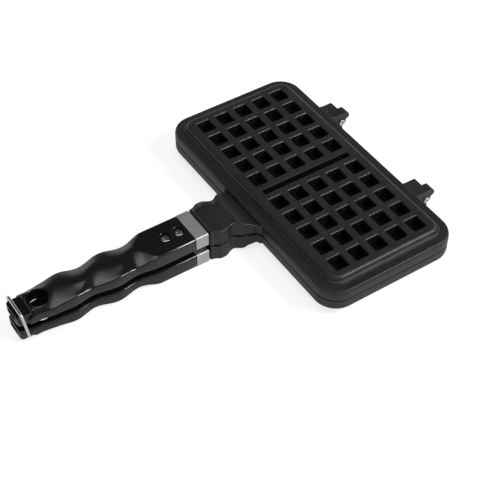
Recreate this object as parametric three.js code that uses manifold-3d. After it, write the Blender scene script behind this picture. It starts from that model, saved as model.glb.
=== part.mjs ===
// Stovetop waffle iron: two identical hinged cast plates, each with a moulded handle, and a wire bail that
// holds the handles together. Millimetres, +Z up. X runs from the handles to the hinges, Y along the plates.
// Each half is modelled above its parting plane, and the lower half is the same half turned over about X.
import * as THREE from 'three';
import { mergeVertices } from 'three/addons/utils/BufferGeometryUtils.js';
import Module from 'manifold-3d';

const wasm = await Module();
wasm.setup();

// Whole object
const overallLength = 305;
const plateLength = 210;
const plateWidth = 110;
const halfThickness = 13.1;
const fit = 0.3;
const overrun = 1;

// Plate rim and raised field
const plateCorner = 17;
const rimHeight = 8.5;
const rimEdgeRound = 1.6;
const fieldBorder = 8.7;
const fieldCorner = 8;
const fieldEdgeRound = 2.9;
const coveDepth = 3.1;
const ledgeStep = 0.5;
const ledgeWidth = 1.7;
const ledgeEdgeRound = 1.2;

// Waffle grid: outer pockets, and inner pegs behind them
const pocketColumns = 5;
const pocketRows = 5;
const pocketWidth = 12.4;
const pocketLength = 13.3;
const pocketBevel = 1;
const pocketDraft = 1.5;
const columnPitch = 16.54;
const rowPitch = 17.3;
const centrePitch = 27.9;
const floorThickness = 3.2;
const tipThickness = 2.4;
const pegWall = 1.5;
const pegDraft = 1.3;
const tipToParting = 3;
const cavityWall = 1.6;
const cavityDraft = 1.1;
const cavityCorner = 5;

// Divider between the two waffles, with its outer slot
const slotWidth = 5.6;
const slotLength = 76;
const slotDraft = 1.8;
const slotDepth = 10.5;
const dividerTipWidth = 5.2;
const dividerDraft = 2;

// Hinges
const hingeSpacing = 102.2;
const lugLength = 16.4;
const lugHeight = 7.7;
const lugRootSink = 4.2;
const pinStandoff = 9;
const pinRadius = 1.9;
const pinHeadRadius = 2.5;
const pinHeadThickness = 0.7;
const pinHollowRadius = 0.9;
const pinHollowDepth = 3;
const knuckleWall = 2;
const roofReach = 1.3;
const lipReach = 7;
const lipThickness = 5;
const lipRound = 3.3;

// Neck between the plate and the handle
const neckEdgeRound = 1;
const neckStandOff = 0.9;
const neckLip = 2.1;
const neckRecess = 1.6;
const neckPartingGap = 0.9;
const neckRootSink = 3;
const neckPlateHeight = 8.3;

// Ferrule, spigot and tang
const handleGap = 5;
const handleWidth = 28;
const ferruleLength = 10.1;
const ferruleWall = 0.8;
const ferruleStandOff = 0.65;
const ferruleCorner = 1.2;
const ferruleToPlate = 36.6;
const tangWidth = 14;
const tangThickness = 3.8;
const tangLift = 1.3;
const tangEndMargin = 6;

// Handle halves
const handleInset = 0.3;
const flatLength = 28;
const noseLength = 7.2;
const noseWidth = 18.8;
const noseDrop = 1.9;
const noseCorner = 2.6;
const noseRecessDepth = 1.6;
const noseRecessWall = 2.2;
const noseRecessCorner = 1.4;
const handleEdge = 0.8;
const holeRadius = 7.6;
const holeSetback = 19.2;
const holeRound = 1.2;
const gripEndRound = 5;

// Screws
const screwSetback = 5.6;
const screwPitch = 10.6;
const counterboreRadius = 4.1;
const counterboreDepth = 4.2;
const screwHeadRadius = 3.3;
const screwHeadHeight = 2;
const screwRadius = 2;
const crossWidth = 0.9;
const crossSpan = 3.6;
const crossDepth = 1.1;
const washerThickness = 0.7;
const washerRadius = 3.5;
const washerSplit = 0.8;

// Wire bail
const wireRadius = 1.1;
const bailBend = 2.6;
const bailSetback = 5.5;
const bailLean = 2.5;
const bailDepth = 3.6;
const bailPivotDrop = 8;
const bailRise = 13.3;

// Segment counts
const cornerSteps = 7;
const edgeSteps = 3;
const ledgeSteps = 2;
const roundSteps = 20;
const holeSteps = 36;
const gripSteps = 40;
const neckSteps = 18;
const wireSides = 8;
const wireSteps = 40;

// Places that follow from the sizes above
const plateX = plateWidth / 2;
const plateY = plateLength / 2;
const partingZ = fit / 2;
const fieldX = plateX - fieldBorder;
const fieldY = plateY - fieldBorder;
const floorZ = halfThickness - floorThickness;
const pocketFloorZ = tipToParting + tipThickness;
const firstColumnX = -columnPitch * (pocketColumns - 1) / 2;
const firstRowY = centrePitch / 2;
const lugRootX = plateX - lugRootSink;
const pinX = plateX + pinStandoff;
const pinBore = pinRadius + fit;
const knuckleRadius = pinBore + knuckleWall;
const hingeOuterX = pinX + lipReach;
const noseEndX = hingeOuterX - overallLength;
const ferruleInnerX = -plateX - ferruleToPlate;
const ferruleOuterX = ferruleInnerX - ferruleLength;
const neckStartX = ferruleInnerX + neckStandOff;
const handleFrontX = ferruleOuterX - fit;
const gripEndX = noseEndX + noseLength;
const handleTopZ = halfThickness + ferruleStandOff - handleInset;
const handleBottomZ = handleGap / 2;
const handleHalf = handleWidth / 2;
const ferruleTopZ = halfThickness + ferruleStandOff;
const screwFrontX = handleFrontX - screwSetback;
const screwRearX = screwFrontX - screwPitch;
const tangEndX = screwRearX - tangEndMargin;
const tangBottomZ = handleBottomZ + tangLift;
const tangTopZ = tangBottomZ + tangThickness;
const seatZ = handleTopZ - counterboreDepth;
const flatEndX = handleFrontX - flatLength;
const holeX = noseEndX + holeSetback;
const holeShare = (holeX - flatEndX) / (gripEndX - flatEndX);
const bailX = noseEndX + bailSetback;

// Solids: closed meshes from rings, and the cuts and joins between them
function solidOf(geometry) {
  const plain = geometry.clone();
  plain.deleteAttribute('normal');
  plain.deleteAttribute('uv');
  const merged = mergeVertices(plain);
  return new wasm.Manifold(new wasm.Mesh({
    numProp: 3,
    vertProperties: merged.attributes.position.array,
    triVerts: new Uint32Array(merged.index.array),
  }));
}

function geometryOf(solid) {
  const mesh = solid.getMesh();
  const geometry = new THREE.BufferGeometry();
  geometry.setAttribute('position', new THREE.BufferAttribute(mesh.vertProperties, 3));
  geometry.setIndex(new THREE.BufferAttribute(mesh.triVerts, 1));
  geometry.computeVertexNormals();
  return geometry;
}

// A closed skin over rings of points, each ring turning anticlockwise about the way the rings run
function loft(rings, flatten) {
  const count = rings[0].length;
  const last = (rings.length - 1) * count;
  const positions = rings.flat().flatMap((point) => [point.x, point.y, point.z]);
  const index = [];
  for (let ring = 0; ring < rings.length - 1; ring += 1) {
    for (let side = 0; side < count; side += 1) {
      const next = (side + 1) % count;
      const here = ring * count;
      const there = here + count;
      index.push(here + side, here + next, there + next, here + side, there + next, there + side);
    }
  }
  for (const [a, b, c] of THREE.ShapeUtils.triangulateShape(rings[0].map(flatten), [])) {
    index.push(c, b, a);
  }
  for (const [a, b, c] of THREE.ShapeUtils.triangulateShape(rings[rings.length - 1].map(flatten), [])) {
    index.push(last + a, last + b, last + c);
  }
  const geometry = new THREE.BufferGeometry();
  geometry.setAttribute('position', new THREE.Float32BufferAttribute(positions, 3));
  geometry.setIndex(index);
  return solidOf(geometry);
}

const flattenZ = (point) => new THREE.Vector2(point.x, point.y);
const flattenX = (point) => new THREE.Vector2(point.y, point.z);

// A ring at one height: a rectangle of half sizes x and y with round corners
function rectangleRing(x, y, z, corner, steps, centre = new THREE.Vector2()) {
  const points = [];
  for (let quarter = 0; quarter < 4; quarter += 1) {
    const signX = quarter === 0 || quarter === 3 ? 1 : -1;
    const signY = quarter < 2 ? 1 : -1;
    for (let step = 0; step <= steps; step += 1) {
      const angle = (quarter + step / steps) * Math.PI / 2;
      points.push(new THREE.Vector3(
        centre.x + signX * (x - corner) + corner * Math.cos(angle),
        centre.y + signY * (y - corner) + corner * Math.sin(angle),
        z,
      ));
    }
  }
  return points;
}

// A stack of such rings, from [half x, half y, height] levels
function rectangleStack(levels, corner, steps, centre) {
  return loft(levels.map(([x, y, z]) => rectangleRing(x, y, z, corner, steps, centre)), flattenZ);
}

// A stack of plain rectangles, from [half x, half y, height] levels
function boxStack(levels, centre = new THREE.Vector2()) {
  const ring = ([x, y, z]) => [[x, y], [-x, y], [-x, -y], [x, -y]]
    .map(([sideX, sideY]) => new THREE.Vector3(centre.x + sideX, centre.y + sideY, z));
  return loft(levels.map(ring), flattenZ);
}

function boxSolid(low, high) {
  const size = new THREE.Vector3().subVectors(high, low);
  const geometry = new THREE.BoxGeometry(size.x, size.y, size.z);
  const centre = new THREE.Vector3().addVectors(low, high).multiplyScalar(1 / 2);
  geometry.translate(centre.x, centre.y, centre.z);
  return solidOf(geometry);
}

function uprightCylinder(radius, low, high, steps, x, y = 0) {
  const geometry = new THREE.CylinderGeometry(radius, radius, high - low, steps);
  geometry.rotateX(Math.PI / 2);
  geometry.translate(x, y, (low + high) / 2);
  return solidOf(geometry);
}

// A cylinder along Y, from one y to another
function crossCylinder(radius, low, high, steps, x, z) {
  const geometry = new THREE.CylinderGeometry(radius, radius, high - low, steps);
  geometry.translate(x, (low + high) / 2, z);
  return solidOf(geometry);
}

// An outline in X and Z, carried along Y from one y to another
function sideProfile(shape, low, high, steps) {
  const geometry = new THREE.ExtrudeGeometry(shape, {
    depth: high - low, bevelEnabled: false, curveSegments: steps,
  });
  geometry.rotateX(Math.PI / 2);
  geometry.translate(0, high, 0);
  return solidOf(geometry);
}

// A value along a run of [place share, value share] stations, rounded off at each station
function wave(stations, place) {
  const after = stations.findIndex(([at]) => at >= place);
  if (after <= 0) {
    return after === 0 ? stations[0][1] : stations[stations.length - 1][1];
  }
  const [startAt, startValue] = stations[after - 1];
  const [endAt, endValue] = stations[after];
  const blend = (1 - Math.cos(Math.PI * (place - startAt) / (endAt - startAt))) / 2;
  return startValue + (endValue - startValue) * blend;
}

// Half sizes and heights down a quarter round, from its inner top to its outer bottom
function quarterRound(x, y, top, radius, steps) {
  const levels = [];
  for (let step = steps; step >= 0; step -= 1) {
    const angle = step / steps * Math.PI / 2;
    const inset = radius * (1 - Math.sin(angle));
    levels.push([x - inset, y - inset, top - radius * (1 - Math.cos(angle))]);
  }
  return levels;
}

// Rim slab with the field standing on it, its edge stepping down to the rim in two rounds
function plateBody() {
  const rim = rectangleStack([
    [plateX, plateY, partingZ],
    ...quarterRound(plateX, plateY, rimHeight, rimEdgeRound, edgeSteps),
  ], plateCorner, cornerSteps);
  const ledgeTop = halfThickness - coveDepth;
  const ledgeX = fieldX + ledgeWidth;
  const ledgeY = fieldY + ledgeWidth;
  const ledge = rectangleStack([
    [ledgeX, ledgeY, rimHeight - overrun],
    ...quarterRound(ledgeX, ledgeY, ledgeTop, ledgeEdgeRound, ledgeSteps),
  ], fieldCorner + ledgeWidth, cornerSteps);
  const field = rectangleStack([
    [fieldX + ledgeStep, fieldY + ledgeStep, ledgeTop - overrun],
    [fieldX + ledgeStep, fieldY + ledgeStep, ledgeTop],
    ...quarterRound(fieldX, fieldY, halfThickness, fieldEdgeRound, edgeSteps),
  ], fieldCorner, cornerSteps);
  return rim.add(ledge).add(field);
}

function cavity() {
  const x = fieldX - cavityWall;
  const y = fieldY - cavityWall;
  return rectangleStack([
    [x + cavityDraft, y + cavityDraft, partingZ - overrun],
    [x + cavityDraft, y + cavityDraft, partingZ],
    [x, y, floorZ],
  ], cavityCorner, cornerSteps);
}

function divider() {
  const tip = dividerTipWidth / 2;
  return boxStack([
    [fieldX, tip, partingZ],
    [fieldX, tip + dividerDraft, floorZ],
    [fieldX, tip + dividerDraft, floorZ + overrun],
  ]);
}

function dividerSlot() {
  const bottom = halfThickness - slotDepth;
  const wallX = slotLength / 2 - pocketBevel;
  const wallY = slotWidth / 2 - pocketBevel / 2;
  return boxStack([
    [wallX - slotDraft, wallY - slotDraft / 2, bottom],
    [wallX, wallY, halfThickness - pocketBevel],
    [slotLength / 2, slotWidth / 2, halfThickness],
    [slotLength / 2, slotWidth / 2, halfThickness + overrun],
  ]);
}

// Calls a function with the centre of each pocket of both waffles
function atEachPocket(visit) {
  for (const side of [1, -1]) {
    for (let row = 0; row < pocketRows; row += 1) {
      for (let column = 0; column < pocketColumns; column += 1) {
        visit(new THREE.Vector2(firstColumnX + column * columnPitch, side * (firstRowY + row * rowPitch)));
      }
    }
  }
}

function peg(centre) {
  const x = pocketWidth / 2 - pocketBevel + pegWall;
  const y = pocketLength / 2 - pocketBevel + pegWall;
  return boxStack([
    [x - pegDraft, y - pegDraft, tipToParting],
    [x, y, floorZ],
    [x, y, floorZ + overrun],
  ], centre);
}

function pocket(centre) {
  const x = pocketWidth / 2;
  const y = pocketLength / 2;
  const wallX = x - pocketBevel;
  const wallY = y - pocketBevel;
  return boxStack([
    [wallX - pocketDraft, wallY - pocketDraft, pocketFloorZ],
    [wallX, wallY, halfThickness - pocketBevel],
    [x, y, halfThickness],
    [x, y, halfThickness + overrun],
  ], centre);
}

// Knuckle with its arm, and a lip past the pin that meets the other half's roof when the iron is open
function knuckleOutline() {
  const shape = new THREE.Shape();
  shape.moveTo(lugRootX, partingZ);
  shape.lineTo(pinX - Math.sqrt(knuckleRadius ** 2 - partingZ ** 2), partingZ);
  shape.absarc(pinX, 0, knuckleRadius, Math.PI - Math.asin(partingZ / knuckleRadius), 2 * Math.PI, false);
  shape.lineTo(pinX + knuckleRadius, (lugHeight - lipThickness) / 2);
  shape.lineTo(hingeOuterX, lugHeight - lipThickness);
  shape.lineTo(hingeOuterX, lugHeight - lipRound);
  shape.quadraticCurveTo(hingeOuterX, lugHeight, hingeOuterX - lipRound, lugHeight);
  shape.lineTo(lugRootX, lugHeight);
  shape.closePath();
  return shape;
}

// Roof over the other half's knuckle
function roofOutline() {
  const reach = knuckleRadius + fit;
  const shape = new THREE.Shape();
  shape.moveTo(lugRootX, partingZ);
  shape.lineTo(pinX - Math.sqrt(reach ** 2 - partingZ ** 2), partingZ);
  shape.absarc(pinX, 0, reach, Math.PI - Math.asin(partingZ / reach), Math.PI / 2, true);
  shape.lineTo(pinX + roofReach, reach);
  shape.lineTo(pinX + roofReach, lugHeight);
  shape.lineTo(lugRootX, lugHeight);
  shape.closePath();
  return shape;
}

function hingeLug(centreY) {
  const knuckle = sideProfile(knuckleOutline(), centreY - lugLength / 2, centreY - fit / 2, roundSteps / 2)
    .subtract(crossCylinder(pinBore, centreY - lugLength, centreY, roundSteps, pinX, 0));
  const roof = sideProfile(roofOutline(), centreY + fit / 2, centreY + lugLength / 2, roundSteps / 2);
  const web = boxSolid(
    new THREE.Vector3(lugRootX, centreY - lugLength / 2, partingZ),
    new THREE.Vector3(pinX - knuckleRadius - fit, centreY + lugLength / 2, lugHeight),
  );
  const cap = boxSolid(
    new THREE.Vector3(lugRootX, centreY - lugLength / 2, knuckleRadius + fit),
    new THREE.Vector3(pinX + roofReach, centreY + lugLength / 2, lugHeight),
  );
  return knuckle.add(roof).add(web).add(cap);
}

// Half width of the neck, as [share of the way from ferrule to plate, share of half the handle's width]
const neckWidthShares = [
  [0, 1.01], [0.06, 1.03], [0.22, 1.2], [0.29, 1.2], [0.52, 1.01], [0.75, 1.32], [0.93, 1.48], [1, 1.75],
];
// Height of the neck's top, from the ferrule's top at 0 to its height at the plate at 1
const neckHeightShares = [[0, 0.06], [0.25, 0.06], [0.6, 0.2], [1, 1]];

function neckRing(share, inset, low, lift, edge) {
  const x = neckStartX + share * (-plateX - neckStartX);
  const half = wave(neckWidthShares, Math.min(share, 1)) * handleHalf - inset;
  const fullTop = ferruleTopZ + (neckPlateHeight - ferruleTopZ) * wave(neckHeightShares, Math.min(share, 1));
  const top = fullTop + lift;
  return [
    [-half, low], [half, low], [half, top - edge],
    [half - edge, top], [edge - half, top], [-half, top - edge],
  ].map(([y, z]) => new THREE.Vector3(x, y, z));
}

function neck() {
  const neckLength = -plateX - neckStartX;
  const sunk = 1 + neckRootSink / neckLength;
  const body = [];
  const hollow = [];
  const lipShare = neckLip / neckLength;
  for (let step = 0; step <= neckSteps; step += 1) {
    const share = sunk * step / neckSteps;
    body.push(neckRing(share, 0, neckPartingGap / 2, 0, neckEdgeRound));
    const inside = lipShare + (1 - lipShare) * step / neckSteps;
    const ring = neckRing(inside, neckLip, 0, overrun, neckEdgeRound / 2);
    const floor = neckRing(inside, neckLip, 0, -neckRecess, neckEdgeRound)[3].z;
    ring[0].z = floor;
    ring[1].z = floor;
    hollow.push(ring);
  }
  return loft(body, flattenX).subtract(loft(hollow, flattenX));
}

function spigotAndTang() {
  const inset = ferruleWall + fit;
  const spigot = boxSolid(
    new THREE.Vector3(ferruleOuterX, -handleHalf + inset, handleBottomZ + inset),
    new THREE.Vector3(neckStartX + overrun, handleHalf - inset, ferruleTopZ - inset),
  );
  const tang = boxSolid(
    new THREE.Vector3(tangEndX, -tangWidth / 2, tangBottomZ),
    new THREE.Vector3(ferruleOuterX + overrun, tangWidth / 2, tangTopZ),
  );
  const [low, high] = [tangBottomZ - overrun, tangTopZ + overrun];
  return spigot.add(tang)
    .subtract(uprightCylinder(screwRadius + fit, low, high, roundSteps, screwFrontX))
    .subtract(uprightCylinder(screwRadius + fit, low, high, roundSteps, screwRearX));
}

function castPlate() {
  let plate = plateBody().subtract(cavity()).add(divider());
  atEachPocket((centre) => {
    plate = plate.add(peg(centre));
  });
  atEachPocket((centre) => {
    plate = plate.subtract(pocket(centre));
  });
  plate = plate.subtract(dividerSlot());
  for (const side of [1, -1]) {
    plate = plate.add(hingeLug(side * hingeSpacing / 2));
  }
  return plate.add(neck()).add(spigotAndTang());
}

// Ferrule: a flat steel band round the joint of neck and handle
function ferruleRing(x, inset, corner) {
  const middle = (handleBottomZ + ferruleTopZ) / 2;
  const halfHeight = (ferruleTopZ - handleBottomZ) / 2;
  return rectangleRing(handleHalf - inset, halfHeight - inset, 0, corner, edgeSteps)
    .map((point) => new THREE.Vector3(x, point.x, middle + point.y));
}

function ferrule() {
  const outside = loft([
    ferruleRing(ferruleOuterX, 0, ferruleCorner),
    ferruleRing(ferruleInnerX - fit, 0, ferruleCorner),
  ], flattenX);
  const inside = loft([
    ferruleRing(ferruleOuterX - overrun, ferruleWall, ferruleCorner / 2),
    ferruleRing(ferruleInnerX + overrun, ferruleWall, ferruleCorner / 2),
  ], flattenX);
  return outside.subtract(inside);
}

// Grip stations, as [share of the way from the flat's end to the grip's end, share]
const gripWidthShares = [
  [0, 1], [0.17, 0.87], [0.34, 1], [0.52, 0.83], [0.68, 0.96], [0.8, 0.92], [0.93, 0.83], [1, 0.84],
];
// How far the side edge lies below the ridge, as shares of the handle half's height
const gripEdgeShares = [
  [0, 0.07], [0.17, 0.34], [0.33, 0.18], [0.51, 0.34], [0.66, 0.19], [0.86, 0.4], [0.97, 0.4], [1, 0.6],
];
// Half width of the flat along the ridge, as shares of the half width there
const gripRidgeShares = [[0, 0.93], [0.12, 0.12], [0.75, 0.12], [0.9, 0.6], [1, 0.72]];
// How far the ridge lies below the handle's top, as shares of the handle half's height
const gripTopShares = [[0, 0], [0.645, 0], [0.84, 0.1], [0.955, 0.12], [1, 0.4]];
// Slope from the side edge to the ridge, as [share of the way inwards, share of the fall left]
const gripSlopeShares = [[0.06, 1], [0.34, 0.58], [0.67, 0.22], [1, 0]];

function gripRing(share, half, x) {
  const height = handleTopZ - handleBottomZ;
  const edgeZ = handleTopZ - wave(gripEdgeShares, share) * height;
  const topZ = handleTopZ - wave(gripTopShares, share) * height;
  const slope = half - wave(gripRidgeShares, share) * half;
  const side = [
    [half - handleEdge, handleBottomZ],
    [half, handleBottomZ + handleEdge],
    [half, edgeZ - handleEdge],
    ...gripSlopeShares.map(([inwards, left]) => [half - slope * inwards, topZ - (topZ - edgeZ) * left]),
  ];
  const mirrored = side.map(([y, z]) => [-y, z]).reverse();
  return side.concat(mirrored).map(([y, z]) => new THREE.Vector3(x, y, z));
}

function grip() {
  const rings = [gripRing(0, handleHalf, handleFrontX)];
  const rounding = gripEndRound / (flatEndX - gripEndX);
  for (let step = 0; step <= gripSteps; step += 1) {
    const share = step / gripSteps;
    const past = Math.max(0, (share - 1 + rounding) / rounding);
    const drawnIn = gripEndRound * (1 - Math.sqrt(1 - past ** 2)) / 2;
    const half = wave(gripWidthShares, share) * handleHalf - drawnIn;
    rings.push(gripRing(share, half, flatEndX + share * (gripEndX - flatEndX)));
  }
  return loft(rings.reverse(), flattenX);
}

// Nose that carries the bail, lower and narrower than the grip, with a shallow recess in its end
function nose() {
  const length = holeSetback / 2;
  const centre = new THREE.Vector2(noseEndX + length, 0);
  const half = noseWidth / 2;
  const top = handleTopZ - noseDrop;
  const body = rectangleStack([
    [length - handleEdge, half - handleEdge, handleBottomZ],
    [length, half, handleBottomZ + handleEdge],
    [length, half, top - handleEdge],
    [length - handleEdge, half - handleEdge, top],
  ], noseCorner, edgeSteps, centre);
  const recess = [noseEndX - overrun, noseEndX + noseRecessDepth].map((x) => {
    const middle = (top + handleBottomZ) / 2;
    const height = (top - handleBottomZ) / 2 - noseRecessWall;
    const width = half - noseCorner - noseRecessWall / 2;
    return rectangleRing(width, height, 0, noseRecessCorner, edgeSteps)
      .map((point) => new THREE.Vector3(x, point.x, middle + point.y));
  });
  return body.subtract(loft(recess, flattenX));
}

// Hang hole, its mouth rounded off into the top of the grip
function hangHole() {
  const mouthZ = handleTopZ - wave(gripTopShares, holeShare) * (handleTopZ - handleBottomZ);
  const profile = [new THREE.Vector2(0, -overrun), new THREE.Vector2(holeRadius, -overrun)];
  for (let step = 0; step <= edgeSteps; step += 1) {
    const angle = step / edgeSteps * Math.PI / 2;
    profile.push(new THREE.Vector2(
      holeRadius + holeRound * (1 - Math.cos(angle)),
      mouthZ - holeRound * (1 - Math.sin(angle)),
    ));
  }
  profile.push(new THREE.Vector2(holeRadius + holeRound, ferruleTopZ + overrun));
  profile.push(new THREE.Vector2(0, ferruleTopZ + overrun));
  const geometry = new THREE.LatheGeometry(profile, holeSteps);
  geometry.rotateX(Math.PI / 2);
  geometry.translate(holeX, 0, 0);
  return solidOf(geometry);
}

function tangSlot() {
  return boxSolid(
    new THREE.Vector3(tangEndX - fit, -tangWidth / 2 - fit, handleBottomZ - overrun),
    new THREE.Vector3(handleFrontX + overrun, tangWidth / 2 + fit, tangTopZ + fit),
  );
}

function handle(carriesBail) {
  let body = grip().add(nose()).subtract(hangHole()).subtract(tangSlot());
  for (const x of [screwFrontX, screwRearX]) {
    body = body
      .subtract(uprightCylinder(counterboreRadius, seatZ, ferruleTopZ + overrun, roundSteps, x))
      .subtract(uprightCylinder(screwRadius + fit, handleBottomZ, seatZ + overrun, roundSteps, x));
  }
  if (carriesBail) {
    for (const side of [1, -1]) {
      const deep = side * (noseWidth / 2 - bailDepth - fit);
      const mouth = side * (noseWidth / 2 + overrun);
      body = body.subtract(crossCylinder(
        wireRadius + fit, Math.min(deep, mouth), Math.max(deep, mouth), roundSteps / 2, bailX, bailPivotDrop,
      ));
    }
  }
  return body;
}

// Round of the pan head, as [share of its radius, share of its height]
const screwHeadShares = [[1, 0.5], [0.82, 0.87], [0.55, 1]];

// Pan-head screw with a cross recess
function screw(x) {
  const headLow = seatZ + washerThickness + 2 * fit;
  const headHigh = headLow + screwHeadHeight;
  const profile = [
    [0, tangBottomZ - fit], [screwRadius - fit, tangBottomZ - fit], [screwRadius, tangBottomZ],
    [screwRadius, headLow], [screwHeadRadius, headLow],
    ...screwHeadShares.map(([out, up]) => [screwHeadRadius * out, headLow + screwHeadHeight * up]),
    [0, headHigh],
  ].map(([radius, z]) => new THREE.Vector2(radius, z));
  const geometry = new THREE.LatheGeometry(profile, roundSteps);
  geometry.rotateX(Math.PI / 2);
  geometry.translate(x, 0, 0);
  const across = boxSolid(
    new THREE.Vector3(x - crossSpan / 2, -crossWidth / 2, headHigh - crossDepth),
    new THREE.Vector3(x + crossSpan / 2, crossWidth / 2, headHigh + overrun),
  );
  const along = boxSolid(
    new THREE.Vector3(x - crossWidth / 2, -crossSpan / 2, headHigh - crossDepth),
    new THREE.Vector3(x + crossWidth / 2, crossSpan / 2, headHigh + overrun),
  );
  return solidOf(geometry).subtract(across).subtract(along);
}

// Split spring washer under the screw's head
function washer(x) {
  const low = seatZ + fit;
  const high = low + washerThickness;
  const split = boxSolid(
    new THREE.Vector3(x, -washerSplit / 2, low - overrun),
    new THREE.Vector3(x + washerRadius + overrun, washerSplit / 2, high + overrun),
  );
  return uprightCylinder(washerRadius, low, high, roundSteps, x)
    .subtract(uprightCylinder(screwRadius + fit, low - overrun, high + overrun, roundSteps, x))
    .subtract(split);
}

// Hinge pin: a rivet with a head on each outer face and a hollow in each end
function hingePin(centreY) {
  const headLow = lugLength / 2 + fit;
  const end = headLow + pinHeadThickness;
  let pin = crossCylinder(pinRadius, centreY - end, centreY + end, roundSteps, pinX, 0);
  for (const side of [1, -1]) {
    const across = (radius, inner, outer) => {
      const ends = [centreY + side * inner, centreY + side * outer];
      return crossCylinder(radius, Math.min(...ends), Math.max(...ends), roundSteps, pinX, 0);
    };
    pin = pin.add(across(pinHeadRadius, headLow, end))
      .subtract(across(pinHollowRadius, end - pinHollowDepth, end + overrun));
  }
  return pin;
}

// Wire bail: two legs that turn in the lower nose, and a bar over the upper one
function bail() {
  const legY = noseWidth / 2 + fit + wireRadius;
  const innerY = noseWidth / 2 - bailDepth;
  const foot = (y) => new THREE.Vector3(bailX, y, -bailPivotDrop);
  const head = (y) => new THREE.Vector3(bailX - bailLean, y, bailRise);
  const corners = [foot(-innerY), foot(-legY), head(-legY), head(legY), foot(legY), foot(innerY)];
  const path = new THREE.CurvePath();
  let from = corners[0];
  for (let corner = 1; corner < corners.length - 1; corner += 1) {
    const at = corners[corner];
    const bend = corner === 1 || corner === corners.length - 2 ? wireRadius + fit : bailBend;
    const back = corners[corner - 1].clone().sub(at).normalize().multiplyScalar(bend);
    const ahead = corners[corner + 1].clone().sub(at).normalize().multiplyScalar(bend);
    const enter = at.clone().add(back);
    const leave = at.clone().add(ahead);
    path.add(new THREE.LineCurve3(from, enter));
    path.add(new THREE.QuadraticBezierCurve3(enter, at, leave));
    from = leave;
  }
  path.add(new THREE.LineCurve3(from, corners[corners.length - 1]));
  const section = new THREE.Shape();
  section.absarc(0, 0, wireRadius, 0, 2 * Math.PI, false);
  const geometry = new THREE.ExtrudeGeometry(section, {
    steps: wireSteps, extrudePath: path, curveSegments: wireSides, bevelEnabled: false,
  });
  return solidOf(geometry);
}

// Materials and named pieces
const finishes = {
  coatedAluminium: { color: 0x2b2b2c, roughness: 0.62, metalness: 0.2 },
  glossyHandle: { color: 0x141415, roughness: 0.18, metalness: 0 },
  brushedSteel: { color: 0xb4b4b2, roughness: 0.34, metalness: 1 },
  zincScrew: { color: 0x9a9a98, roughness: 0.3, metalness: 1 },
  brightWire: { color: 0xd6d6d4, roughness: 0.18, metalness: 1 },
};

function piece(name, solid, finish) {
  const mesh = new THREE.Mesh(geometryOf(solid), new THREE.MeshStandardMaterial(finishes[finish]));
  mesh.name = name;
  return mesh;
}

// One half of the iron above its parting plane
function halfIron(prefix, carriesBail) {
  const half = new THREE.Group();
  half.add(piece(`${prefix}_plate`, castPlate(), 'coatedAluminium'));
  half.add(piece(`${prefix}_ferrule`, ferrule(), 'brushedSteel'));
  half.add(piece(`${prefix}_handle`, handle(carriesBail), 'glossyHandle'));
  for (const [place, x] of [['front', screwFrontX], ['rear', screwRearX]]) {
    half.add(piece(`${prefix}_${place}_screw`, screw(x), 'zincScrew'));
    half.add(piece(`${prefix}_${place}_washer`, washer(x), 'zincScrew'));
  }
  return half;
}

const iron = new THREE.Group();
iron.position.set(-(hingeOuterX + noseEndX) / 2, 0, ferruleTopZ);

const upperHalf = halfIron('upper', false);
const lowerHalf = halfIron('lower', true);
lowerHalf.rotation.x = Math.PI;
iron.add(upperHalf, lowerHalf);
iron.add(piece('left_hinge_pin', hingePin(hingeSpacing / 2), 'brightWire'));
iron.add(piece('right_hinge_pin', hingePin(-hingeSpacing / 2), 'brightWire'));
iron.add(piece('latch_bail', bail(), 'brightWire'));

export default iron;
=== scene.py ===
"""Looks of the stovetop waffle iron: smooth castings, moulded grips, metal trim, studio and camera.

Shapes are worked out in millimetres in one half's own frame (X from handle to hinge, Y along the plate,
Z up from the parting plane, origin at the plate's centre) and turned over for the lower half.
"""
import math

import bmesh
import bpy
from mathutils import Matrix, Vector
from mathutils.geometry import tessellate_polygon

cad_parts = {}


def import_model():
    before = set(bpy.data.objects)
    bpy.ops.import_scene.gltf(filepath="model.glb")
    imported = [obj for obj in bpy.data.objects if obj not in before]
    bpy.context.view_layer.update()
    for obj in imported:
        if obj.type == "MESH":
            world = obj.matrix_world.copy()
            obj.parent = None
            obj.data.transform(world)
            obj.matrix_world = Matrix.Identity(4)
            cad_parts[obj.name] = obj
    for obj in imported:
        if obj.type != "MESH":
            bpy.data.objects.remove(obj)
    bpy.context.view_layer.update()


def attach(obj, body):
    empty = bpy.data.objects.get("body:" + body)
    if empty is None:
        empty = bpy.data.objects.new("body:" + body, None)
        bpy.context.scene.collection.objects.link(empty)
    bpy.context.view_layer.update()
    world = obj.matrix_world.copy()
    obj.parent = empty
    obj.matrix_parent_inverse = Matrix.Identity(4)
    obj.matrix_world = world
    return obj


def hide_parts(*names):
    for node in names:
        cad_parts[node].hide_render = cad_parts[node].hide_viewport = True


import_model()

MM = 0.001
PLATE_CENTRE_X = 81.5
PARTING_HEIGHT = 13.75
MIDDLE = Matrix.Translation((0, 0, PARTING_HEIGHT * MM))
TURN_OVER = MIDDLE @ Matrix.Rotation(math.pi, 4, "X") @ MIDDLE.inverted()

# An edge that bends by more than these degrees stays sharp, or, while a prism is made, is rounded
CASTING_SMOOTH, MOULDING_SMOOTH, TRIM_SMOOTH, WIRE_SMOOTH, PRISM_SMOOTH = 38, 32, 30, 40, 40
WELD_DISTANCE, NORMAL_WEIGHT = 0.0005, 50

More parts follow.
